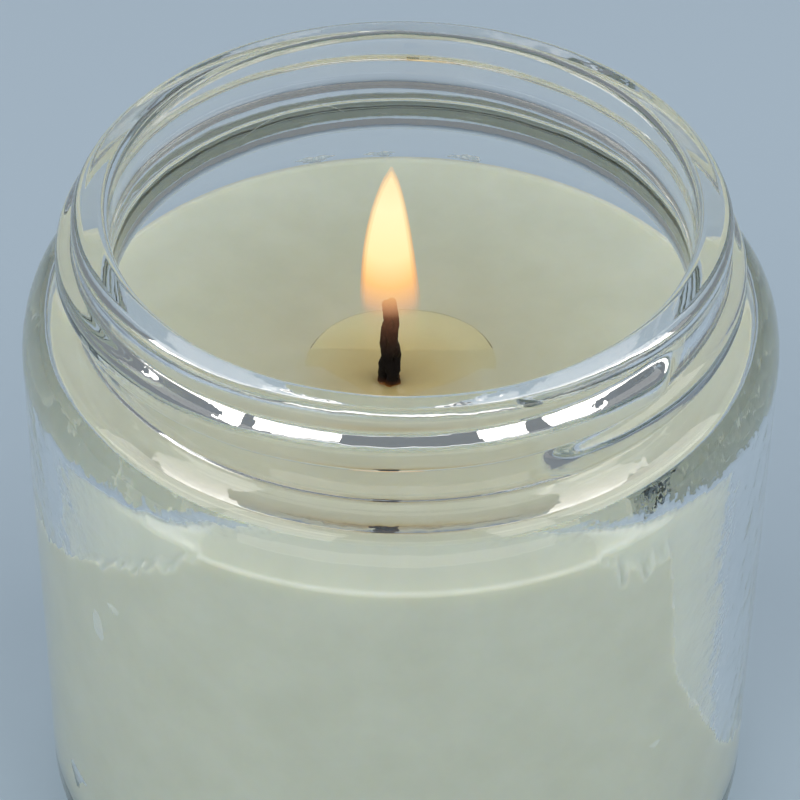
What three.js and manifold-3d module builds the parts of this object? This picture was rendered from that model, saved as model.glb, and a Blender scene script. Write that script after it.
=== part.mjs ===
// A poured container candle: a thick glass jar with a screw neck, a wax fill with a dished top,
// and an off-centre cored cotton wick crimped into a metal tab that is stuck to the jar's floor.
// Millimetres, +Z up. The origin is the middle of the foot, on the surface the jar stands on.
import * as THREE from 'three';
import { mergeVertices } from 'three/addons/utils/BufferGeometryUtils.js';
import Module from 'manifold-3d';

const wasm = await Module();
wasm.setup();

// Jar, outside
const jarHeight = 80;
const bodyRadius = 38.7;
const shoulderWidth = 5.7; // how far the neck stands in from the body
const shoulderDrop = 6.5; // height of the rounded shoulder
const finishHeight = 10.2; // screw neck, from the rim down to the shoulder
const heelWidth = 6.2;
const heelHeight = 8.5;
const footWidth = 4.6; // flat ring that the jar stands on
const puntDepth = 1.5; // hollow under the foot
const creaseRadius = 0.8; // fillet where the neck meets the shoulder

// Jar, inside
const neckWall = 3.7;
const bodyWall = 3.2;
const floorThickness = 5;
const floorCorner = 7;
const shoulderCeiling = 12.7; // underside of the shoulder below the rim
const ceilingFall = 0.2; // how far that underside drops towards the body
const boreRound = 1.2; // lower edge of the bore
const shoulderCorner = 0.8; // inside corner between shoulder and body
const rimOuterRound = 1.3;
const rimInnerRound = 1.0;

// Screw thread
const threadStand = 1.7; // crest above the neck
const threadRound = 2.0; // radius of the bead's section
const threadPitch = 4.2;
const threadDrop = 4.1; // crest below the rim, at the front
const threadStart = -342; // degrees from the front, positive towards +X
const threadEnd = 57;
const threadRunOut = 14; // degrees over which each end fades into the neck

// Wax
const fillDrop = 19.25; // wax edge below the rim
const dishDepth = 1.85; // middle of the wax below its edge

// Wick
const wickX = -1.1;
const wickY = -2.5;
const exposedWick = 10.4; // bare wick above the wax
const coreRadius = 0.3;
const yarnRadius = 0.21;
const yarnPairs = 3; // strands laid each way round the core
const braidPitch = 14;

// Wick tab and its foam dot
const tabRadius = 10;
const tabSheet = 0.3; // sheet thickness
const collarHeight = 6;
const dotRadius = 9;
const dotThickness = 0.8;

// Clearances
const castGap = 0.1; // between the glass and the wax, and round what the wax holds
const stackGap = 0.05; // between the floor, the dot, the tab and the wick end
const strandGap = 0.05; // between strands of the wick

// Sizes that follow from those
const neckRadius = bodyRadius - shoulderWidth;
const mouthRadius = neckRadius - neckWall;
const cavityRadius = bodyRadius - bodyWall;
const neckFoot = jarHeight - finishHeight;
const wallTop = neckFoot - shoulderDrop;
const waxEdge = jarHeight - fillDrop;
const poolLevel = waxEdge - dishDepth;
const dotBottom = floorThickness + stackGap;
const tabBottom = dotBottom + dotThickness + stackGap;
const wickBottom = tabBottom + tabSheet;
const wickTop = poolLevel + exposedWick;
const strandSwing = yarnRadius + strandGap / 2;
const braidRadius = coreRadius + strandGap + strandSwing + yarnRadius;
const wickRadius = braidRadius + strandSwing + yarnRadius;
const collarBore = wickRadius + stackGap;
const collarRadius = collarBore + tabSheet;

const jarSides = 64;
const smallSides = 32;

// Points on an ellipse quarter or any other stretch, angles in degrees from +r towards +z.
function arc(centreR, centreZ, radiusR, radiusZ, from, to, steps) {
  const points = [];
  for (let i = 0; i <= steps; i += 1) {
    const angle = THREE.MathUtils.degToRad(from + ((to - from) * i) / steps);
    points.push([centreR + radiusR * Math.cos(angle), centreZ + radiusZ * Math.sin(angle)]);
  }
  return points;
}

// Revolves an outline of [radius, height] pairs that starts and ends on the axis.
// The outline runs up the outside, so that the faces look out.
function revolve(outline, sides) {
  const points = outline.map(([r, z]) => new THREE.Vector2(r, z));
  return new THREE.LatheGeometry(points, sides).rotateX(Math.PI / 2);
}

function toSolid(geometry) {
  const bare = geometry.clone();
  bare.deleteAttribute('normal');
  bare.deleteAttribute('uv');
  const merged = mergeVertices(bare, 1e-4);
  const index = merged.index.array;
  const triVerts = [];
  for (let i = 0; i < index.length; i += 3) {
    const [a, b, c] = [index[i], index[i + 1], index[i + 2]];
    if (a !== b && b !== c && c !== a) {
      triVerts.push(a, b, c);
    }
  }
  const mesh = new wasm.Mesh({
    numProp: 3,
    vertProperties: merged.attributes.position.array,
    triVerts: new Uint32Array(triVerts),
  });
  return new wasm.Manifold(mesh);
}

function toGeometry(solid) {
  const { vertProperties, triVerts } = solid.getMesh();
  const geometry = new THREE.BufferGeometry();
  geometry.setAttribute('position', new THREE.BufferAttribute(vertProperties, 3));
  geometry.setIndex(new THREE.BufferAttribute(triVerts, 1));
  geometry.computeVertexNormals();
  return geometry;
}

// The rounded foot of the cavity, from the floor out to the wall, drawn in by inset.
function cavityFoot(inset) {
  const centreR = cavityRadius - floorCorner - inset;
  const centreZ = floorThickness + floorCorner + inset;
  return arc(centreR, centreZ, floorCorner, floorCorner, -90, 0, 5);
}

// The underside of the shoulder, from the bore out to the wall.
function shoulderInside() {
  const ceiling = jarHeight - shoulderCeiling;
  const cornerR = cavityRadius - shoulderCorner;
  const cornerZ = ceiling - ceilingFall - shoulderCorner;
  return [
    ...arc(mouthRadius + boreRound, ceiling + boreRound, boreRound, boreRound, 180, 270, 4),
    ...arc(cornerR, cornerZ, shoulderCorner, shoulderCorner, 90, 0, 4),
  ];
}

function jarOutline() {
  const footRadius = bodyRadius - heelWidth;
  const footInner = footRadius - footWidth;
  const rim = jarHeight - rimOuterRound;
  return [
    [0, puntDepth],
    [footInner - 2.5, puntDepth * 0.8],
    [footInner, 0],
    ...arc(footRadius, heelHeight, heelWidth, heelHeight, -90, 0, 6),
    ...arc(neckRadius + creaseRadius, wallTop, shoulderWidth - creaseRadius, shoulderDrop, 0, 90, 6),
    ...arc(neckRadius + creaseRadius, neckFoot + creaseRadius, creaseRadius, creaseRadius, 270, 180, 3).slice(1),
    ...arc(neckRadius - rimOuterRound, rim, rimOuterRound, rimOuterRound, 0, 90, 3),
    ...arc(mouthRadius + rimInnerRound, jarHeight - rimInnerRound, rimInnerRound, rimInnerRound, 90, 180, 3),
    ...shoulderInside(),
    ...cavityFoot(0).reverse(),
    [0, floorThickness],
  ];
}

// The bead's middle line: a right-hand helix that sinks into the neck at both ends.
class ThreadLine extends THREE.Curve {
  getPoint(t, target = new THREE.Vector3()) {
    const degrees = threadStart + (threadEnd - threadStart) * t;
    const angle = THREE.MathUtils.degToRad(degrees - 90);
    const toEnd = Math.min(degrees - threadStart, threadEnd - degrees, threadRunOut) / threadRunOut;
    const fade = THREE.MathUtils.smoothstep(toEnd, 0, 1);
    const crest = neckRadius - 0.6 + (threadStand + 0.6) * fade;
    const r = crest - threadRound;
    const z = jarHeight - threadDrop + (threadPitch * degrees) / 360;
    return target.set(r * Math.cos(angle), r * Math.sin(angle), z);
  }
}

function roundSection(radius, sides) {
  const shape = new THREE.Shape();
  for (let i = 0; i < sides; i += 1) {
    const angle = (2 * Math.PI * i) / sides;
    const point = [radius * Math.cos(angle), radius * Math.sin(angle)];
    if (i === 0) {
      shape.moveTo(...point);
    } else {
      shape.lineTo(...point);
    }
  }
  shape.closePath();
  return shape;
}

function sweep(section, path, steps) {
  return new THREE.ExtrudeGeometry(section, { extrudePath: path, steps, bevelEnabled: false });
}

// The bead is trimmed to the outer half of the neck wall, so that its sunk ends stay in the glass.
function glassJar() {
  const middle = neckRadius - neckWall / 2;
  const bead = toSolid(sweep(roundSection(threadRound, 10), new ThreadLine(), 84));
  const inner = revolve([[0, wallTop], [middle, wallTop], [middle, jarHeight], [0, jarHeight]], jarSides);
  const body = toSolid(revolve(jarOutline(), jarSides));
  return toGeometry(body.add(bead.subtract(toSolid(inner))));
}

// The top of the wax, from its edge to the middle: a shallow dish that is deepest in the middle.
function waxTop(edgeRadius) {
  const points = [];
  const steps = 8;
  for (let i = 0; i <= steps; i += 1) {
    const share = 1 - i / steps;
    points.push([edgeRadius * share, poolLevel + dishDepth * share * share]);
  }
  return points;
}

// The room that the wax leaves for the dot, the tab, its collar and the wick.
function wickRoom() {
  const tabTop = tabBottom + tabSheet + castGap;
  const collarTop = tabBottom + collarHeight + castGap;
  const outline = [
    [0, 0],
    [tabRadius + castGap, 0],
    [tabRadius + castGap, tabTop],
    [collarRadius + castGap, tabTop],
    [collarRadius + castGap, collarTop],
    [wickRadius + castGap, collarTop],
    [wickRadius + castGap, jarHeight],
    [0, jarHeight],
  ];
  return revolve(outline, smallSides).translate(wickX, wickY, 0);
}

function waxFill() {
  const outline = [[0, floorThickness + castGap], ...cavityFoot(castGap), ...waxTop(cavityRadius - castGap)];
  return toGeometry(toSolid(revolve(outline, jarSides)).subtract(toSolid(wickRoom())));
}

// A disc with a crimped collar that the wick end stands in.
function wickTab() {
  const top = tabBottom + tabSheet;
  const outline = [
    [collarBore, tabBottom],
    [tabRadius, tabBottom],
    [tabRadius, top],
    [collarRadius, top],
    [collarRadius, tabBottom + collarHeight],
    [collarBore, tabBottom + collarHeight],
    [collarBore, tabBottom],
  ];
  return revolve(outline, smallSides).translate(wickX, wickY, 0);
}

function foamDot() {
  const top = dotBottom + dotThickness;
  return revolve([[0, dotBottom], [dotRadius, dotBottom], [dotRadius, top], [0, top]], smallSides)
    .translate(wickX, wickY, 0);
}

function wickCore() {
  const outline = [[0, wickBottom], [coreRadius, wickBottom], [coreRadius, wickTop], [0, wickTop]];
  return revolve(outline, 12).translate(wickX, wickY, 0);
}

// One strand of the braid. turn is +1 or -1 for the two ways round, and phase is its place in
// degrees. The two ways swing out and in by turns, so that each strand passes over and under.
class StrandLine extends THREE.Curve {
  constructor(turn, phase) {
    super();
    this.turn = turn;
    this.phase = THREE.MathUtils.degToRad(phase);
  }

  getPoint(t, target = new THREE.Vector3()) {
    const rise = (wickTop - wickBottom) * t;
    const round = (2 * Math.PI * rise) / braidPitch;
    const angle = this.phase + this.turn * round;
    const r = braidRadius + this.turn * strandSwing * Math.cos(yarnPairs * round);
    return target.set(wickX + r * Math.cos(angle), wickY + r * Math.sin(angle), wickBottom + rise);
  }
}

function wickYarn(turn, phase) {
  const turns = (wickTop - wickBottom) / braidPitch;
  return sweep(roundSection(yarnRadius, 5), new StrandLine(turn, phase), Math.round(turns * 20));
}

const glass = new THREE.MeshStandardMaterial({ color: 0xdde9e6, roughness: 0.05, metalness: 0 });
const wax = new THREE.MeshStandardMaterial({ color: 0xe7e8dc, roughness: 0.5, metalness: 0 });
const cotton = new THREE.MeshStandardMaterial({ color: 0x3a2418, roughness: 0.95, metalness: 0 });
const paper = new THREE.MeshStandardMaterial({ color: 0xe9e2d0, roughness: 0.9, metalness: 0 });
const tinplate = new THREE.MeshStandardMaterial({ color: 0xc4c6c8, roughness: 0.3, metalness: 1 });
const foam = new THREE.MeshStandardMaterial({ color: 0xf2f2ee, roughness: 0.9, metalness: 0 });

const candle = new THREE.Group();

function addPiece(name, geometry, material) {
  const mesh = new THREE.Mesh(geometry, material);
  mesh.name = name;
  candle.add(mesh);
}

addPiece('glass_jar', glassJar(), glass);
addPiece('wax_fill', waxFill(), wax);
addPiece('adhesive_dot', foamDot(), foam);
addPiece('wick_tab', wickTab(), tinplate);
addPiece('wick_core', wickCore(), paper);
for (let i = 0; i < yarnPairs; i += 1) {
  const phase = (360 * i) / yarnPairs;
  addPiece(`wick_yarn_right_${i + 1}`, wickYarn(1, phase), cotton);
  addPiece(`wick_yarn_left_${i + 1}`, wickYarn(-1, phase), cotton);
}

export default candle;
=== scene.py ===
# A poured container candle, burning: clear screw-neck jar, cream wax, charred braided wick.
# Sizes are in millimetres until a mesh is made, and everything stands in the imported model's frame.
import math
import bpy
import numpy as np
from mathutils import Matrix, Vector


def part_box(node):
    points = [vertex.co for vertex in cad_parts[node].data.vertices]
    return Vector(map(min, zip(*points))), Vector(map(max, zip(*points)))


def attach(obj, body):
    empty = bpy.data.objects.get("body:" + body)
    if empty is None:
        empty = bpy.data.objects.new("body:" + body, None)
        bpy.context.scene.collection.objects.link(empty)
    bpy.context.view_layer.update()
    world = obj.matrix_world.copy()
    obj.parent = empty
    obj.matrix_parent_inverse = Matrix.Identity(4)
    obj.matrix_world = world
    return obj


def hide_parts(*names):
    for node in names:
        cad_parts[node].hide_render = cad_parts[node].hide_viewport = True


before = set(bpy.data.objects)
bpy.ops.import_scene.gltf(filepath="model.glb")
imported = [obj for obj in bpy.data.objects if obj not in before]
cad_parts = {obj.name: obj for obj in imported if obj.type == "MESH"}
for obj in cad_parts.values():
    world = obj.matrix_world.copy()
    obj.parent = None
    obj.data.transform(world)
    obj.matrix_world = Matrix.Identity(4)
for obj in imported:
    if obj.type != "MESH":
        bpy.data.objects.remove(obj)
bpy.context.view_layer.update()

mm = 0.001
around = 384  # points round the jar
samePoint = 1e-6  # closer points than this are one
print("frame loaded:", len(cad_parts), "nodes")


# hex is sRGB, shaders want linear
def hexColour(code):
    parts = [int(code[i:i + 2], 16) / 255 for i in (1, 3, 5)]
    return (*[p / 12.92 if p <= 0.04045 else ((p + 0.055) / 1.055) ** 2.4 for p in parts], 1.0)


# adds one node, with its settings, its ramp stops and its inputs, which are values or sockets
def addNode(tree, kind, inputs=None, stops=None, **settings):
    node = tree.nodes.new("ShaderNode" + kind)
    for name, value in settings.items():
        setattr(node, name, value)
    for name, value in (inputs or {}).items():
        if isinstance(value, bpy.types.NodeSocket):
            tree.links.new(value, node.inputs[name])
        else:
            node.inputs[name].default_value = value
    if stops:
        ramp = node.color_ramp.elements
        while len(ramp) < len(stops):
            ramp.new(1.0)
        for element, (place, colour) in zip(ramp, stops):
            element.position = place
            element.color = hexColour(colour) if isinstance(colour, str) else (colour, colour, colour, 1)
    return node


def newMaterial(name):
    material = bpy.data.materials.new(name)
    material.use_nodes = True
    tree = material.node_tree
    tree.nodes.clear()
    return material, tree


def finishMaterial(tree, surface, volume=None):
    links = {"Surface": surface}
    if volume:
        links["Volume"] = volume
    addNode(tree, "OutputMaterial", links)


def arcRun(centreR, centreZ, radiusR, radiusZ, start, end, steps):
    turn = np.radians(np.linspace(start, end, steps + 1))
    return np.stack([centreR + radiusR * np.cos(turn), centreZ + radiusZ * np.sin(turn)], axis=1)


def straightRun(start, end, steps):
    return np.linspace(start, end, steps + 1)


def curveRun(p0, p1, p2, p3, steps):
    t = np.linspace(0, 1, steps + 1)[:, None]
    p0, p1, p2, p3 = (np.array(p, float) for p in (p0, p1, p2, p3))
    return p0 * (1 - t) ** 3 + 3 * p1 * t * (1 - t) ** 2 + 3 * p2 * t * t * (1 - t) + p3 * t ** 3


# one outline from several runs, without the doubled points between them
def joinRuns(runs):
    points = [runs[0][0]]
    for run in runs:
        for point in run:
            if np.hypot(*(point - points[-1])) > samePoint:
                points.append(point)
    return np.array(points)


# turns an outline of (radius, height) pairs into rings of points round the axis
def spin(outline, sides):
    turn = 2 * np.pi * np.arange(sides) / sides
    r = outline[:, 0][:, None]
    z = np.repeat(outline[:, 1][:, None], sides, axis=1)
    return np.stack([r * np.cos(turn), r * np.sin(turn), z], axis=2)


# a closed skin over rings of points: one point closes each end, or a hoop joins its last ring to its first
def skin(name, rings, material, first=None, last=None, hoop=False):
    rows, sides = rings.shape[:2]
    j = np.arange(sides)
    k = (j + 1) % sides
    points = rings.reshape(-1, 3)
    faces = []
    for i in range(rows if hoop else rows - 1):
        a, b = i * sides, (i + 1) % rows * sides
        faces.extend(zip(a + j, a + k, b + k, b + j))
    if not hoop:
        first = rings[0].mean(axis=0) if first is None else first
        last = rings[-1].mean(axis=0) if last is None else last
        points = np.concatenate([points, [first, last]])
        firstAt, lastAt, top = rows * sides, rows * sides + 1, (rows - 1) * sides
        faces.extend((firstAt, b, a) for a, b in zip(j, k))
        faces.extend((lastAt, top + a, top + b) for a, b in zip(j, k))
    points = points * mm
    mesh = bpy.data.meshes.new(name)
    mesh.from_pydata(points.tolist(), [], [tuple(int(v) for v in face) for face in faces])
    mesh.polygons.foreach_set("use_smooth", [True] * len(mesh.polygons))
    mesh.materials.append(material)
    mesh.update()
    piece = bpy.data.objects.new(name, mesh)
    bpy.context.scene.collection.objects.link(piece)
    return piece


# smooth random swell of about -1 to 1, from plane waves in random directions, size apart
def swell(points, size, seed, stretch=(1, 1, 1), waves=16):
    rng = np.random.default_rng(seed)
    total = np.zeros(points.shape[:-1])
    for _ in range(waves):
        direction = rng.normal(size=3)
        direction *= 2 * np.pi / (size * rng.uniform(0.6, 1.6) * np.linalg.norm(direction))
        total += np.sin(points @ (direction / np.array(stretch)) + rng.uniform(0, 2 * np.pi))
    return total / math.sqrt(waves)


def ease(x):
    x = np.clip(x, 0, 1)
    return x * x * (3 - 2 * x)


# the larger of two values, rounded where they cross
def roundedMax(a, b, blend):
    h = np.clip(0.5 + 0.5 * (b - a) / blend, 0, 1)
    return a + (b - a) * h + blend * h * (1 - h)


# rings of points round a path, for strands and threads
def tube(path, radii, sides):
    ahead = np.gradient(path, axis=0)
    ahead /= np.linalg.norm(ahead, axis=1)[:, None]
    side = np.cross(ahead, [0.31, 0.95, 0.05])
    side /= np.linalg.norm(side, axis=1)[:, None]
    other = np.cross(ahead, side)
    turn = 2 * np.pi * np.arange(sides) / sides
    ring = side[:, None, :] * np.cos(turn)[None, :, None] + other[:, None, :] * np.sin(turn)[None, :, None]
    return path[:, None, :] + ring * np.asarray(radii)[:, None, None]


camera = {
    "place": (-0.02, -265.67, 278.98),
    "tilt": 0.7022,  # radians below level
    "roll": 0.0108,
    "lens": 150.1,
}


def placeCamera():
    down, turn = camera["tilt"], camera["roll"]
    forward = Vector((0, math.cos(down), -math.sin(down)))
    right = Vector((1, 0, 0))
    up = Vector((0, math.sin(down), math.cos(down)))
    axisX = right * math.cos(turn) + up * math.sin(turn)
    axisY = up * math.cos(turn) - right * math.sin(turn)
    data = bpy.data.cameras.new("camera")
    data.lens = camera["lens"]
    data.sensor_width = 36
    data.clip_start = 0.01
    holder = bpy.data.objects.new("camera", data)
    holder.matrix_world = Matrix.Translation(Vector(camera["place"]) * mm) @ Matrix(
        (axisX, axisY, -forward)).transposed().to_4x4()
    bpy.context.scene.collection.objects.link(holder)
    bpy.context.scene.camera = holder


stage = {
    "floorColour": "#c6dbef",
    "floorSize": 6.0,  # metres
    "worldColour": "#aeb6bd",
    "worldStrength": 0.46,
    "lightColour": "#fffaf2",
    "lights": {  # degrees from the front and above level, size in metres, watts
        "softbox_front": (0, 7, (1.6, 0.3), 2.0),
        "softbox_left": (-36, 40, (0.42, 0.3), 0.9),
        "softbox_far_left": (-78, 40, (0.62, 0.36), 1.7),
        "softbox_right": (38, 40, (0.22, 0.3), 0.5),
        "softbox_far_right": (82, 40, (0.8, 0.36), 2.2),
        "softbox_back": (180, 58, (0.7, 0.3), 0.8),
    },
    "lightReach": 0.9,
    "bounces": 24,  # light is turned back many times inside thick glass
}


def addSoftbox(name, side, rise, size, power):
    light = bpy.data.lights.new(name, "AREA")
    light.shape = "RECTANGLE"
    light.size, light.size_y = size
    light.energy = power
    light.color = hexColour(stage["lightColour"])[:3]
    holder = bpy.data.objects.new(name, light)
    side, rise = math.radians(side), math.radians(rise)
    towards = Vector((math.sin(side) * math.cos(rise), -math.cos(side) * math.cos(rise), math.sin(rise)))
    holder.location = towards * stage["lightReach"] + Vector((0, 0, 0.05))
    holder.rotation_euler = towards.to_track_quat("Z", "Y").to_euler()
    holder.visible_camera = False
    bpy.context.scene.collection.objects.link(holder)


# matt painted board: an even, shadow-soft ground with a faint roller grain
def floorMaterial():
    material, tree = newMaterial("rolledMattPaint")
    place = addNode(tree, "TexCoord").outputs["Object"]
    grain = addNode(tree, "TexNoise", {"Vector": place, "Scale": 900, "Detail": 3})  # roller nap, about 1 mm
    bump = addNode(tree, "Bump", {"Height": grain.outputs["Fac"], "Strength": 0.05, "Distance": 0.0002})
    paint = addNode(tree, "BsdfPrincipled", {
        "Base Color": hexColour(stage["floorColour"]), "Roughness": 0.7, "IOR": 1.5,
        "Normal": bump.outputs["Normal"]})
    finishMaterial(tree, paint.outputs["BSDF"])
    return material


def buildStage():
    half = stage["floorSize"] / 2
    mesh = bpy.data.meshes.new("floor")
    mesh.from_pydata([(-half, -half, 0), (half, -half, 0), (half, half, 0), (-half, half, 0)], [], [(0, 1, 2, 3)])
    mesh.materials.append(floorMaterial())
    floor = bpy.data.objects.new("floor", mesh)
    bpy.context.scene.collection.objects.link(floor)
    world = bpy.data.worlds.new("studio")
    world.use_nodes = True
    background = world.node_tree.nodes["Background"]
    background.inputs["Color"].default_value = hexColour(stage["worldColour"])
    background.inputs["Strength"].default_value = stage["worldStrength"]
    bpy.context.scene.world = world
    for name, settings in stage["lights"].items():
        addSoftbox(name, *settings)
    scene = bpy.context.scene
    scene.view_settings.view_transform = "Standard"
    for kind in ("max", "glossy", "transmission", "transparent_max"):
        setattr(scene.cycles, kind + "_bounces", stage["bounces"])


placeCamera()
buildStage()
print("camera, floor and light set")


jarLow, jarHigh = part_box("glass_jar")
jarHeight = jarHigh.z / mm
bodyRadius = (jarHigh.x - jarLow.x) / 2 / mm

jar = {
    "shoulderWidth": 5.7,  # neck in from the body
    "shoulderDrop": 6.5,
    "finishHeight": 10.2,
    "heel": (6.2, 8.5),
    "footWidth": 4.6,
    "footRound": 0.5,
    "puntDepth": 1.5,
    "crease": 0.8,
    "neckWall": 3.7,
    "bodyWall": 3.2,
    "floor": 5.0,
    "floorCorner": 7.0,
    "ceiling": 12.7,  # underside of the shoulder below the rim
    "ceilingFall": 0.2,
    "boreRound": 1.2,
    "shoulderCorner": 0.8,
    "rimOuter": 1.3,
    "rimInner": 1.0,
    "threadStand": 1.7,
    "threadHalf": 2.15,  # half the bead's height
    "threadPower": 3.3,  # a broad crest with steep flanks
    "threadPitch": 4.2,
    "threadDrop": 4.1,
    "threadFrom": -342.0,  # degrees from the front, towards +X
    "threadTo": 57.0,
    "threadRunOut": 12.0,
    "threadFillet": 0.35,
    "swellHeight": 0.03,  # slow waves that pressing leaves in the glass
    "swellSize": 14,
    "chillHeight": 0.008,  # short waves from the cold mould
    "chillSize": 3.2,
    "stippleRing": (29, 32, 0.5),  # knurl on the foot: inner and outer radius, and how each fades
    "stippleHeight": 0.12,
    "stippleCount": 96,
}
neckRadius = bodyRadius - jar["shoulderWidth"]
mouthRadius = neckRadius - jar["neckWall"]
cavityRadius = bodyRadius - jar["bodyWall"]
neckFoot = jarHeight - jar["finishHeight"]
wallTop = neckFoot - jar["shoulderDrop"]


# inside of the jar from the floor's corner up to the bore
def cavityOutline(steps):
    foot, corner, edge = jar["floorCorner"], jar["shoulderCorner"], jar["boreRound"]
    ceiling = jarHeight - jar["ceiling"]
    low = ceiling - jar["ceilingFall"] - corner
    return joinRuns([
        arcRun(cavityRadius - foot, jar["floor"] + foot, foot, foot, -90, 0, steps[0]),
        straightRun((cavityRadius, jar["floor"] + foot), (cavityRadius, low), steps[1]),
        arcRun(cavityRadius - corner, low, corner, corner, 0, 90, steps[2]),
        straightRun((cavityRadius - corner, low + corner), (mouthRadius + edge, ceiling), 4),
        arcRun(mouthRadius + edge, ceiling + edge, edge, edge, 270, 180, steps[2]),
    ])


def jarOutline():
    heelR, heelZ = jar["heel"]
    footOuter = bodyRadius - heelR
    footInner = footOuter - jar["footWidth"]
    foot, punt, crease = jar["footRound"], jar["puntDepth"], jar["crease"]
    outerRound, innerRound = jar["rimOuter"], jar["rimInner"]
    boreEnd = jarHeight - jar["ceiling"] + jar["boreRound"]
    return joinRuns([
        straightRun((1.0, punt), (footInner - 4, punt), 8),
        curveRun((footInner - 4, punt), (footInner - 1.6, punt), (footInner - 1, 0), (footInner + foot, 0), 9),
        straightRun((footInner + foot, 0), (footOuter, 0), 8),
        arcRun(footOuter, heelZ, heelR, heelZ, -90, 0, 18),
        straightRun((bodyRadius, heelZ), (bodyRadius, wallTop), 30),
        arcRun(neckRadius + crease, wallTop, bodyRadius - neckRadius - crease, jar["shoulderDrop"], 0, 90, 16),
        arcRun(neckRadius + crease, neckFoot + crease, crease, crease, 270, 180, 6),
        straightRun((neckRadius, neckFoot + crease), (neckRadius, jarHeight - outerRound), 62),
        arcRun(neckRadius - outerRound, jarHeight - outerRound, outerRound, outerRound, 0, 90, 9),
        straightRun((neckRadius - outerRound, jarHeight), (mouthRadius + innerRound, jarHeight), 2),
        arcRun(mouthRadius + innerRound, jarHeight - innerRound, innerRound, innerRound, 90, 180, 8),
        straightRun((mouthRadius, jarHeight - innerRound), (mouthRadius, boreEnd), 12),
        cavityOutline((12, 20, 9))[::-1],
        straightRun((cavityRadius - jar["floorCorner"], jar["floor"]), (1.0, jar["floor"]), 10),
    ])


# the bead's outer radius at each ring point, for every pass that it makes
def threadRadius(degrees, z):
    best = np.full(z.shape, -1e3)
    for lap in (-360, 0, 360):
        along = degrees + lap
        toEnd = np.minimum(along - jar["threadFrom"], jar["threadTo"] - along) / jar["threadRunOut"]
        crest = neckRadius - 1.2 + (jar["threadStand"] + 1.2) * ease(toEnd)
        level = jarHeight - jar["threadDrop"] + jar["threadPitch"] * along / 360
        off = np.abs(z - level) / jar["threadHalf"]
        bead = crest - jar["threadStand"] * off ** jar["threadPower"]
        best = np.where(toEnd > 0, np.maximum(best, bead), best)
    return best


# pressed soda-lime glass: bright and clear, faintly green in the thick, with a fire-polished skin
def glassMaterial():
    material, tree = newMaterial("pressedSodaLimeGlass")
    place = addNode(tree, "TexCoord").outputs["Object"]
    chill = addNode(tree, "TexNoise", {"Vector": place, "Scale": 420, "Detail": 2})  # 2.4 mm mould chill
    wide = addNode(tree, "TexNoise", {"Vector": place, "Scale": 110, "Detail": 1})  # 9 mm flow waves
    both = addNode(tree, "Math", {0: chill.outputs["Fac"], 1: wide.outputs["Fac"]}, operation="ADD")
    bump = addNode(tree, "Bump", {"Height": both.outputs["Value"], "Strength": 0.35, "Distance": 0.00006})
    glass = addNode(tree, "BsdfGlass", {
        "Color": hexColour("#ffffff"), "Roughness": 0.0, "IOR": 1.52, "Normal": bump.outputs["Normal"]})
    clear = addNode(tree, "BsdfTransparent", {"Color": hexColour("#f4f8f7")})
    path = addNode(tree, "LightPath")
    mixed = addNode(tree, "MixShader", {
        "Fac": path.outputs["Is Shadow Ray"], 1: glass.outputs["BSDF"], 2: clear.outputs["BSDF"]})
    tint = addNode(tree, "VolumeAbsorption", {"Color": hexColour("#c9dcdf"), "Density": 4.0})
    finishMaterial(tree, mixed.outputs["Shader"], tint.outputs["Volume"])
    return material


def buildJar():
    rings = spin(jarOutline(), around)
    r = np.hypot(rings[..., 0], rings[..., 1])
    z = rings[..., 2]
    degrees = np.degrees(np.arctan2(rings[..., 0], -rings[..., 1]))  # from the front, towards +X
    outside = (r > (neckRadius + mouthRadius) / 2) & (z > neckFoot - 0.1) & (z < jarHeight - 0.2)
    beaded = roundedMax(r, threadRadius(degrees, z), jar["threadFillet"])
    newR = np.where(outside, np.maximum(beaded, r), r)
    wave = jar["swellHeight"] * swell(rings, jar["swellSize"], 5)
    wave = wave + jar["chillHeight"] * swell(rings, jar["chillSize"], 6)
    newR = newR + wave * ease(r / 12) * ease((z - 0.5) / 3)
    scale = (newR / r)[..., None]
    rings = np.concatenate([rings[..., :2] * scale, rings[..., 2:]], axis=2)
    inner, outer, fade = jar["stippleRing"]
    nearFoot = ease(1 - np.abs(z) / 0.3) * ease((r - inner) / fade) * ease((outer - r) / fade)
    ridges = np.sin(np.radians(degrees) * jar["stippleCount"]) > 0
    rings[..., 2] += jar["stippleHeight"] * nearFoot * ridges
    piece = skin("jar_glass", rings, glassMaterial(),
                 first=(0, 0, jar["puntDepth"]), last=(0, 0, jar["floor"]))
    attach(piece, "root")
    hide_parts("glass_jar")


buildJar()
print("glass jar built")


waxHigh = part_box("wax_fill")[1]
coreLow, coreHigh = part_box("wick_core")
tabLow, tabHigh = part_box("wick_tab")
dotLow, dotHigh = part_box("adhesive_dot")
waxEdge = waxHigh.z / mm
wickCentre = ((coreLow.x + coreHigh.x) / 2 / mm, (coreLow.y + coreHigh.y) / 2 / mm)

wax = {
    "dish": 1.85,  # middle below the edge
    "grip": 0.06,  # how far bonded wax is pressed into the glass
    "gap": 0.5,  # air where it has shrunk away
    "tilt": 0.7,  # it set on a slightly sloping table: higher at the front
    "sides": 480,
    "room": 0.1,  # clearance round the tab
    "collarRoom": 1.75,
    "tabSheet": 0.3,
    "topSwell": 0.05,
    "letGo": [(-180, 44), (-110, 44), (-72, 46), (-58, 50), (-45, 54), (-38, 57), (-30, 62), (-15, 64), (14, 64),
              (28, 62), (36, 58.5), (46, 56), (49, 40), (54, 33), (62, 24), (72, 16), (90, 12), (110, 20),
              (140, 40), (180, 44)],  # degrees from the front, height above which the wax has let go
    "ragged": 0.7,
}
poolLevel = waxEdge - wax["dish"]


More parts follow.
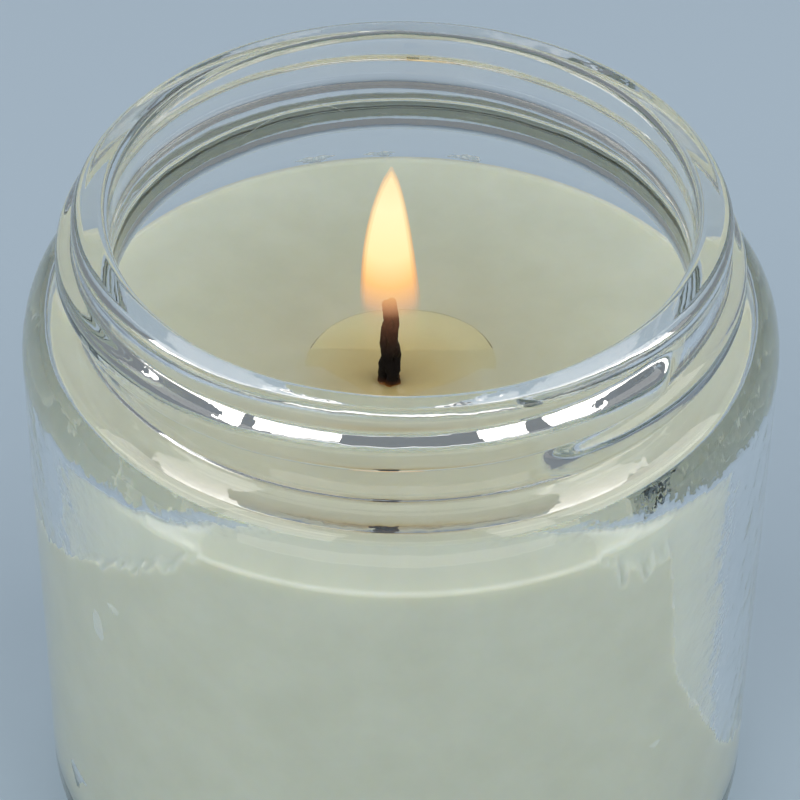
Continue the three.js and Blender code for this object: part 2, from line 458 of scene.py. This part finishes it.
# container wax, poured hot: pale cream, satin and softly lit from within, with the flame's warm light painted in
# as a yellower tone round the wick
def waxMaterial():
    material, tree = newMaterial("pouredContainerWax")
    place = addNode(tree, "TexCoord").outputs["Object"]
    centred = addNode(tree, "VectorMath", {0: place, 1: (wickCentre[0] * mm, wickCentre[1] * mm, 0)},
                      operation="SUBTRACT")
    flat = addNode(tree, "VectorMath", {0: centred.outputs["Vector"], 1: (1, 1, 0)}, operation="MULTIPLY")
    away = addNode(tree, "VectorMath", {0: flat.outputs["Vector"]}, operation="LENGTH")
    share = addNode(tree, "MapRange", {"Value": away.outputs["Value"], 1: 0.0, 2: 0.033})
    # painted flame glow: the colour turns warm yellow towards the wick, where the flame's light falls, and cool
    # cream out at the wall
    tone = addNode(tree, "ValToRGB", {"Fac": share.outputs["Result"]}, stops=[
        (0.0, "#c4b58a"), (0.15, "#c6bd98"), (0.3, "#c9c9b2"), (0.7, "#cbd0bf"), (1.0, "#cfd6cb")])
    frost = addNode(tree, "TexNoise", {"Vector": place, "Scale": 160, "Detail": 5, "Roughness": 0.6})
    mottle = addNode(tree, "ValToRGB", {"Fac": frost.outputs["Fac"]}, stops=[(0.3, "#f7f7f4"), (0.7, "#ffffff")])
    colour = addNode(tree, "Mix", {0: 1.0, 6: tone.outputs["Color"], 7: mottle.outputs["Color"]},
                     data_type="RGBA", blend_type="MULTIPLY")
    fine = addNode(tree, "TexNoise", {"Vector": place, "Scale": 700, "Detail": 4})
    shine = addNode(tree, "MapRange", {"Value": frost.outputs["Fac"], 3: 0.42, 4: 0.58})
    bump = addNode(tree, "Bump", {"Height": fine.outputs["Fac"], "Strength": 0.12, "Distance": 0.0002})
    body = addNode(tree, "BsdfPrincipled", {
        "Base Color": colour.outputs[2], "Roughness": shine.outputs["Result"], "IOR": 1.44,
        "Subsurface Weight": 1.0, "Subsurface Radius": (1.0, 0.85, 0.6), "Subsurface Scale": 0.003,
        "Normal": bump.outputs["Normal"]})
    finishMaterial(tree, body.outputs["BSDF"])
    return material


def buildWax():
    foot = jar["floorCorner"]
    floorR = cavityRadius - foot
    floorZ = jar["floor"] - wax["grip"]
    corner = arcRun(floorR, jar["floor"] + foot, foot, foot + wax["grip"], -90, 0, 24)
    wall = straightRun((cavityRadius, jar["floor"] + foot), (cavityRadius, waxEdge), 88)
    side = joinRuns([corner, wall])
    across = cavityRadius * np.linspace(1, 0.02, 64)
    dish = np.stack([across, poolLevel + wax["dish"] * (across / cavityRadius) ** 2], axis=1)
    tabR = (tabHigh.x - tabLow.x) / 2 / mm + wax["room"]
    collarR, sheetTop = wax["collarRoom"], tabLow.z / mm + wax["tabSheet"] + wax["room"]
    roomTop = tabHigh.z / mm + wax["room"]
    room = joinRuns([  # hollow for the tab and the foam dot, on the wick's own axis
        straightRun((0.4, roomTop), (collarR, roomTop), 3),
        straightRun((collarR, roomTop), (collarR, sheetTop), 6),
        straightRun((collarR, sheetTop), (tabR, sheetTop), 6),
        straightRun((tabR, sheetTop), (tabR, floorZ), 3),
    ])
    floor = joinRuns([room, straightRun((tabR, floorZ), (floorR, floorZ), 12)])
    outline = joinRuns([floor, side, dish])
    rings = spin(outline, wax["sides"])
    aside = np.zeros(len(outline))
    aside[:len(floor)] = np.clip((floorR - floor[:, 0]) / (floorR - tabR), 0, 1)
    shift = aside[:, None, None] * np.array([*wickCentre, 0])
    r = np.hypot(rings[..., 0], rings[..., 1])
    z = rings[..., 2]
    degrees = np.degrees(np.arctan2(rings[..., 0], -rings[..., 1]))
    onSide = np.zeros(z.shape)
    onSide[len(floor) - 1:len(floor) + len(side)] = 1
    edge = np.interp(degrees, *zip(*wax["letGo"]))
    hairs = swell(rings, 1.5, 22, (1, 1, 9)) + np.abs(swell(rings, 0.9, 23, (1, 1, 12)))
    edge += wax["ragged"] * (swell(rings, 7, 21, (1, 1, 3)) + 0.7 * hairs)
    loose = ease((z - edge) / 0.6 + 0.5)
    push = np.where(onSide > 0, wax["grip"] - (wax["grip"] + wax["gap"]) * loose, 0)
    newR = r + push
    rings[..., :2] *= (newR / r)[..., None]
    top = ease((r - 9) / 4) * ease((cavityRadius - r) / 3) * (z > poolLevel - 0.01)
    rings[..., 2] += wax["topSwell"] * swell(rings, 7, 31) * top
    rings[..., 2] -= wax["tilt"] * rings[..., 1] / cavityRadius * ease((z - poolLevel + 2) / 2)
    piece = skin("wax_casting", rings + shift, waxMaterial(),
                 first=(*wickCentre, roomTop), last=(0, 0, poolLevel))
    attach(piece, "root")
    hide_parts("wax_fill")


buildWax()
print("wax built")


tab = {
    "sheet": 0.3,
    "bore": 1.3,
    "stiffener": (6.8, 0.9, 0.12),  # pressed ring: radius, width, height
    "crimp": 0.1,
    "sides": 96,
}
dot = {
    "edgeRound": 0.25,
    "sink": 0.12,  # foam is pressed thinner under the tab's middle
    "sides": 96,
}


# stamped tinplate: bright soft-white metal, with fine drawing lines round the middle and a matt grain
def tinMaterial():
    material, tree = newMaterial("stampedTinplate")
    place = addNode(tree, "TexCoord").outputs["Object"]
    centred = addNode(tree, "VectorMath", {0: place, 1: (wickCentre[0] * mm, wickCentre[1] * mm, 0)},
                      operation="SUBTRACT")
    draw = addNode(tree, "TexWave", {"Vector": centred.outputs["Vector"], "Scale": 900, "Distortion": 1.5},
                   wave_type="RINGS", rings_direction="Z")  # drawing lines, about 0.3 mm, real ones are finer
    grain = addNode(tree, "TexNoise", {"Vector": place, "Scale": 1500, "Detail": 4})
    shine = addNode(tree, "MapRange", {"Value": grain.outputs["Fac"], 3: 0.24, 4: 0.42})
    tone = addNode(tree, "ValToRGB", {"Fac": grain.outputs["Fac"]}, stops=[(0.3, "#b9bcbe"), (0.7, "#d3d5d6")])
    bump = addNode(tree, "Bump", {"Height": draw.outputs["Fac"], "Strength": 0.15, "Distance": 0.00004})
    body = addNode(tree, "BsdfPrincipled", {
        "Base Color": tone.outputs["Color"], "Metallic": 1.0, "Roughness": shine.outputs["Result"],
        "Normal": bump.outputs["Normal"]})
    finishMaterial(tree, body.outputs["BSDF"])
    return material


# closed-cell polyethylene foam, slit to a disc: chalky white with tiny round cells
def foamMaterial():
    material, tree = newMaterial("closedCellFoam")
    place = addNode(tree, "TexCoord").outputs["Object"]
    cells = addNode(tree, "TexVoronoi", {"Vector": place, "Scale": 2200})  # cells, about 0.4 mm
    tone = addNode(tree, "ValToRGB", {"Fac": cells.outputs["Distance"]}, stops=[
        (0.0, "#dedfdb"), (0.7, "#f4f4f0")])
    bump = addNode(tree, "Bump", {"Height": cells.outputs["Distance"], "Strength": 0.4, "Distance": 0.0001})
    body = addNode(tree, "BsdfPrincipled", {
        "Base Color": tone.outputs["Color"], "Roughness": 0.85, "IOR": 1.5, "Normal": bump.outputs["Normal"]})
    finishMaterial(tree, body.outputs["BSDF"])
    return material


def buildTab():
    low, high = tabLow.z / mm, tabHigh.z / mm
    reach, sheet, bore = (tabHigh.x - tabLow.x) / 2 / mm, tab["sheet"], tab["bore"]
    ringR, ringWidth, ringHeight = tab["stiffener"]
    out = np.linspace(bore + sheet + 0.5, reach - 0.15, 40)
    lift = ringHeight * np.exp(-((out - ringR) / ringWidth * 2) ** 2)
    under = np.stack([out, low + lift], axis=1)
    over = np.stack([out, low + lift + sheet], axis=1)[::-1]
    outline = joinRuns([
        curveRun((bore, low + 0.5), (bore, low), (bore + 0.3, low), (bore + sheet + 0.5, low), 6), under,
        arcRun(reach - 0.15, low + sheet / 2, 0.15, sheet / 2, -90, 90, 6), over,
        curveRun((bore + sheet + 0.5, low + sheet), (bore + sheet + 0.15, low + sheet),
                 (bore + sheet, low + 0.5), (bore + sheet, low + 0.9), 6),
        straightRun((bore + sheet, low + 0.9), (bore + sheet, high - 0.3), 16),
        arcRun(bore + sheet / 2, high - 0.15, sheet / 2, 0.15, 0, 180, 6),
        straightRun((bore, high - 0.3), (bore, low + 0.7), 16),
    ])
    rings = spin(outline, tab["sides"])
    turn = 2 * np.pi * np.arange(tab["sides"]) / tab["sides"]
    z = rings[..., 2]
    pinch = tab["crimp"] * np.exp(-((z - (low + high) / 2 - 0.6) / 1.3) ** 2) * (z > low + 1)
    rings[..., :2] *= (1 - pinch * (0.5 + 0.5 * np.cos(4 * turn)))[..., None]
    rings[..., :2] += wickCentre
    piece = skin("wick_tab_tin", rings, tinMaterial(), hoop=True)
    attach(piece, "root")
    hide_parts("wick_tab")


def buildDot():
    low, high, reach = dotLow.z / mm, dotHigh.z / mm, (dotHigh.x - dotLow.x) / 2 / mm
    edge = dot["edgeRound"]
    inner = np.linspace(0.5, reach - edge, 16)
    press = dot["sink"] * ease(1 - inner / 4)
    outline = joinRuns([
        np.stack([inner, np.full(16, low)], axis=1),
        arcRun(reach - edge, low + edge, edge, edge, -90, 0, 4),
        arcRun(reach - edge, high - edge, edge, edge, 0, 90, 4),
        np.stack([inner, high - press], axis=1)[::-1],
    ])
    rings = spin(outline, dot["sides"])
    rings[..., :2] *= (1 - 0.004 * (swell(rings, 2.5, 71) + 1))[..., None]
    rings[..., :2] += wickCentre
    piece = skin("foam_dot", rings, foamMaterial(),
                 first=(*wickCentre, low), last=(*wickCentre, high - dot["sink"]))
    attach(piece, "root")
    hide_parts("adhesive_dot")


buildTab()
buildDot()
print("tab and foam dot built")


wick = {
    "pitch": 14.0,
    "pairs": 3,
    "strand": 0.6,
    "braid": 0.62,
    "swing": 0.05,
    "cord": 0.6,
    "endTaper": 0.62,
    "step": 0.3,  # between rings
    "strandSides": 10,
    "cordSides": 12,
    "lumps": ((1.1, 0.05), (0.4, 0.035)),  # size and height of the char's coarse and fine lumps
}
wickBottom, wickTop = coreLow.z / mm, coreHigh.z / mm


# charred cotton: sooty black and tan at the foot in the pool, with the flame's glow painted in as a reddish brown
# near the tip
def charMaterial():
    material, tree = newMaterial("charredBraidedCotton")
    place = addNode(tree, "TexCoord").outputs["Object"]
    split = addNode(tree, "SeparateXYZ", {"Vector": place})
    height = addNode(tree, "MapRange", {"Value": split.outputs["Z"], 1: poolLevel * mm, 2: wickTop * mm})
    # painted glow: the reddish brown towards the tip stands for the flame's light on the glowing char
    tone = addNode(tree, "ValToRGB", {"Fac": height.outputs["Result"]}, stops=[
        (0.0, "#a8733c"), (0.04, "#3a2214"), (0.09, "#0e0807"), (0.5, "#0e0807"),
        (0.75, "#34120a"), (1.0, "#5c2512")])
    lump = addNode(tree, "TexNoise", {"Vector": place, "Scale": 2600, "Detail": 6})
    bump = addNode(tree, "Bump", {"Height": lump.outputs["Fac"], "Strength": 0.8, "Distance": 0.0002})
    body = addNode(tree, "BsdfPrincipled", {
        "Base Color": tone.outputs["Color"], "Roughness": 0.85, "IOR": 1.5, "Specular IOR Level": 0.15,
        "Normal": bump.outputs["Normal"]})
    finishMaterial(tree, body.outputs["BSDF"])
    return material


def buildWick():
    char = charMaterial()
    z = np.arange(wickBottom, wickTop, wick["step"])
    (coarse, coarseHeight), (fine, fineHeight) = wick["lumps"]
    rise = z - wickBottom
    shrink = 1 - (1 - wick["endTaper"]) * ease((z - poolLevel) / (wickTop - poolLevel))
    for number in range(wick["pairs"]):
        for name, turn in (("right", 1), ("left", -1)):
            lap = 2 * np.pi * rise / wick["pitch"]
            angle = 2 * np.pi * number / wick["pairs"] + turn * lap
            r = (wick["braid"] + turn * wick["swing"] * np.cos(wick["pairs"] * lap)) * shrink
            path = np.stack([wickCentre[0] + r * np.cos(angle), wickCentre[1] + r * np.sin(angle), z], axis=1)
            rings = tube(path, wick["strand"] * shrink ** 0.7, wick["strandSides"])
            lumps = swell(rings, coarse, 40 + number) * coarseHeight
            lumps = lumps + swell(rings, fine, 50 + number) * fineHeight
            rings = rings + (rings - path[:, None, :]) * lumps[..., None] / wick["strand"]
            piece = skin(f"wick_strand_{name}_{number + 1}", rings, char)
            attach(piece, "root")
            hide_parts(f"wick_yarn_{name}_{number + 1}")
    path = np.stack([np.full(z.shape, wickCentre[0]), np.full(z.shape, wickCentre[1]), z], axis=1)
    piece = skin("wick_cord", tube(path, wick["cord"] * shrink, wick["cordSides"]), char)
    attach(piece, "root")
    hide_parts("wick_core")


buildWick()
print("wick built")


pool = {
    "reach": 9.5,
    "meniscus": 0.45,  # climb at the wick
    "sink": 0.05,
    "rings": 26,
    "sides": 96,
}


# molten paraffin: clear straw-coloured liquid, with a shine that slow currents soften
def poolMaterial():
    material, tree = newMaterial("moltenParaffin")
    liquid = addNode(tree, "BsdfPrincipled", {
        "Base Color": hexColour("#fffcf2"), "Roughness": 0.12, "IOR": 1.43, "Transmission Weight": 1.0})
    place = addNode(tree, "TexCoord").outputs["Object"]
    drift = addNode(tree, "TexNoise", {"Vector": place, "Scale": 180, "Detail": 2})  # 5 mm convection cells
    bump = addNode(tree, "Bump", {"Height": drift.outputs["Fac"], "Strength": 0.1, "Distance": 0.0003})
    tree.links.new(bump.outputs["Normal"], liquid.inputs["Normal"])
    clear = addNode(tree, "BsdfTransparent", {"Color": hexColour("#fffdf6")})
    path = addNode(tree, "LightPath")
    mixed = addNode(tree, "MixShader", {
        "Fac": path.outputs["Is Shadow Ray"], 1: liquid.outputs["BSDF"], 2: clear.outputs["BSDF"]})
    tint = addNode(tree, "VolumeAbsorption", {"Color": hexColour("#e4dca8"), "Density": 500.0})
    finishMaterial(tree, mixed.outputs["Shader"], tint.outputs["Volume"])
    return material


def buildPool():
    reach = pool["reach"]
    liquidLevel = poolLevel + wax["dish"] * (0.9 * reach / cavityRadius) ** 2
    out = np.linspace(0.4, 1, pool["rings"]) * reach
    turn = 2 * np.pi * np.arange(pool["sides"]) / pool["sides"]
    rings = []
    for top in (False, True):
        for r in (out[::-1] if top else out):
            x, y = r * np.cos(turn), r * np.sin(turn)
            x, y = x * (1 + 0.05 * np.sin(2 * turn + 1)), y * (1 + 0.04 * np.sin(3 * turn))
            bed = poolLevel + wax["dish"] * (np.hypot(x, y) / cavityRadius) ** 2
            if top:
                away = np.hypot(x - wickCentre[0], y - wickCentre[1])
                z = np.maximum(liquidLevel, bed + 0.01)  # flat, and thinning out where the cool wax rises
                z = z + pool["meniscus"] * np.exp(-np.maximum(away - 1.1, 0) / 0.7)
            else:
                z = bed - pool["sink"]
            rings.append(np.stack([x, y, z], axis=1))
    rings = np.array(rings)
    piece = skin("melt_pool", rings, poolMaterial(),
                 first=(0, 0, poolLevel - pool["sink"]), last=(0, 0, liquidLevel + 0.05))
    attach(piece, "root")


buildPool()
print("melt pool built")


flame = {
    "lean": -0.25,
    "flatness": 0.94,
    "rings": 72,
    "sides": 48,
    # height over the wick end, radius
    "profile": [(-5.8, 2.2), (-4.4, 2.75), (-3, 3.0), (-1.2, 3.1), (0.8, 3.05), (3, 2.85), (6, 2.6), (9, 2.2),
                (11.5, 1.75), (13.5, 1.28), (15, 0.84), (16.1, 0.42), (16.7, 0.05)],
    "skins": {  # share of the radius, opacity, hues from foot to tip
        "flame_outer": (1.0, 0.3, ["#e8a06e", "#f0a066", "#ffab5c", "#ffc27a", "#ffcf90", "#ffc890"]),
        "flame_middle": (0.93, 0.45, ["#eeb08a", "#f2b486", "#ffc87e", "#fff0b0", "#fff4c0", "#ffe0a8"]),
        "flame_inner": (0.84, 0.72, ["#eebc98", "#f4c090", "#ffd890", "#fffbc8", "#fffcd2", "#fff0c0"]),
    },
}


# burning wax vapour: glowing soot, see-through round the wick and nearly solid light above it
def flameMaterial(name, opacity, hues):
    material, tree = newMaterial("glowingSoot_" + name)
    place = addNode(tree, "TexCoord").outputs["Object"]
    split = addNode(tree, "SeparateXYZ", {"Vector": place})
    foot = (wickTop + flame["profile"][0][0]) * mm
    tip = (wickTop + flame["profile"][-1][0]) * mm
    height = addNode(tree, "MapRange", {"Value": split.outputs["Z"], 1: foot, 2: tip})
    hue = addNode(tree, "ValToRGB", {"Fac": height.outputs["Result"]},
                  stops=list(zip((0.0, 0.3, 0.42, 0.56, 0.8, 1.0), hues)))
    thick = addNode(tree, "ValToRGB", {"Fac": height.outputs["Result"]}, stops=[
        (0.0, 0.0), (0.16, 0.02 * opacity), (0.25, 0.06 * opacity), (0.32, 0.45 * opacity), (0.42, opacity),
        (0.92, opacity), (1.0, 0.5 * opacity)])
    glow = addNode(tree, "Emission", {"Color": hue.outputs["Color"], "Strength": 1.16})
    air = addNode(tree, "BsdfTransparent")
    mixed = addNode(tree, "MixShader", {
        "Fac": thick.outputs["Color"], 1: air.outputs["BSDF"], 2: glow.outputs["Emission"]})
    finishMaterial(tree, mixed.outputs["Shader"])
    return material


def buildFlame():
    heights, radii = (np.array(column, float) for column in zip(*flame["profile"]))
    z = np.linspace(heights[0], heights[-1], flame["rings"])
    r = np.interp(z, heights, radii)
    r = np.convolve(np.pad(r, 2, mode="edge"), np.ones(5) / 5, mode="valid")
    sides = flame["sides"]
    turn = 2 * np.pi * np.arange(sides) / sides
    sway = flame["lean"] * np.sin(np.pi * np.clip(z / heights[-1], 0, 1))
    for name, (share, opacity, hues) in flame["skins"].items():
        squeeze = 1 - (1 - share) * 0.35 * ease((z - heights[0]) / 12)  # inner skins end a little lower
        x = wickCentre[0] + sway[:, None] + (r * share)[:, None] * np.cos(turn)
        y = wickCentre[1] + (r * share)[:, None] * np.sin(turn) * flame["flatness"]
        lift = np.repeat((wickTop + heights[0] + (z - heights[0]) * squeeze)[:, None], sides, axis=1)
        piece = skin(name, np.stack([x, y, lift], axis=2), flameMaterial(name, opacity, hues))
        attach(piece, "root")


buildFlame()
print("flame built")


traces = {
    "thread": [(-143.6, 70.3), (-149, 71.3), (-155.6, 72.2), (-161.1, 72.3), (-165.5, 71.3), (-167.6, 70.5)],
    "threadRadius": 0.05,
    # degrees from the front, height over the wax edge, half width in degrees
    "smears": [(-164, 0.7, 3.0), (-176, 0.5, 2.4), (168.5, 0.6, 2.8)],
    "smearThickness": 0.12,
    "threadPoints": 60,
    "smearSides": 40,
}


# thin chilled wax: bluish-white, half clear, with a crazed satin skin
def filmMaterial():
    material, tree = newMaterial("chilledWaxFilm")
    place = addNode(tree, "TexCoord").outputs["Object"]
    craze = addNode(tree, "TexVoronoi", {"Vector": place, "Scale": 1400},  # 0.7 mm flakes
                    feature="DISTANCE_TO_EDGE")
    tone = addNode(tree, "ValToRGB", {"Fac": craze.outputs["Distance"]}, stops=[
        (0.0, "#b9c6cc"), (0.25, "#dde2e0")])
    bump = addNode(tree, "Bump", {"Height": craze.outputs["Distance"], "Strength": 0.3, "Distance": 0.0001})
    body = addNode(tree, "BsdfPrincipled", {
        "Base Color": tone.outputs["Color"], "Roughness": 0.35, "IOR": 1.44, "Subsurface Weight": 0.5,
        "Subsurface Radius": (1.0, 0.85, 0.6), "Subsurface Scale": 0.0005, "Normal": bump.outputs["Normal"]})
    clear = addNode(tree, "BsdfTransparent")
    thin = addNode(tree, "MapRange", {"Value": craze.outputs["Distance"], 2: 0.3, 3: 0.2, 4: 0.45})
    film = addNode(tree, "MixShader", {
        "Fac": thin.outputs["Result"], 1: clear.outputs["BSDF"], 2: body.outputs["BSDF"]})
    finishMaterial(tree, film.outputs["Shader"])
    return material


def roundJar(degrees, z, r):
    turn = np.radians(degrees)
    return np.stack([r * np.sin(turn), -r * np.cos(turn), z], axis=-1)


def buildTraces():
    film = filmMaterial()
    marks = np.array(traces["thread"], float)
    points = traces["threadPoints"]
    t = np.linspace(0, len(marks) - 1, points)
    degrees = np.interp(t, np.arange(len(marks)), marks[:, 0])
    z = np.interp(t, np.arange(len(marks)), marks[:, 1])
    z = np.convolve(np.pad(z, 4, mode="edge"), np.ones(9) / 9, mode="valid")
    path = roundJar(degrees, z, mouthRadius - traces["threadRadius"] * 0.6)
    thin = traces["threadRadius"] * (0.35 + 0.65 * np.sin(np.pi * np.linspace(0.02, 0.98, points)))
    pieces = [skin("wax_thread", tube(path, thin, 8), film)]
    for number, (middle, height, half) in enumerate(traces["smears"]):
        turn = 2 * np.pi * np.arange(traces["smearSides"]) / traces["smearSides"]
        base = waxEdge + wax["tilt"] * math.cos(math.radians(middle))
        rings = []
        for share, depth in ((0.3, 0.0), (0.8, 0.0), (1.0, 0.35), (1.02, 0.6), (0.9, 1.0), (0.4, 1.0)):
            spread = share * (1 + 0.22 * np.sin(3 * turn + number) + 0.12 * np.sin(7 * turn + 2 * number))
            across = middle + half * spread * np.cos(turn)
            up = base + height * 0.2 + height * 0.62 * spread * np.sin(turn)
            rings.append(roundJar(across, up, cavityRadius + 0.03 - depth * traces["smearThickness"]))
        rings = np.array(rings)[:, ::-1]
        pieces.append(skin(f"wax_smear_{number + 1}", rings, film))
    for piece in pieces:
        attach(piece, "root")


buildTraces()
print("wax traces built")
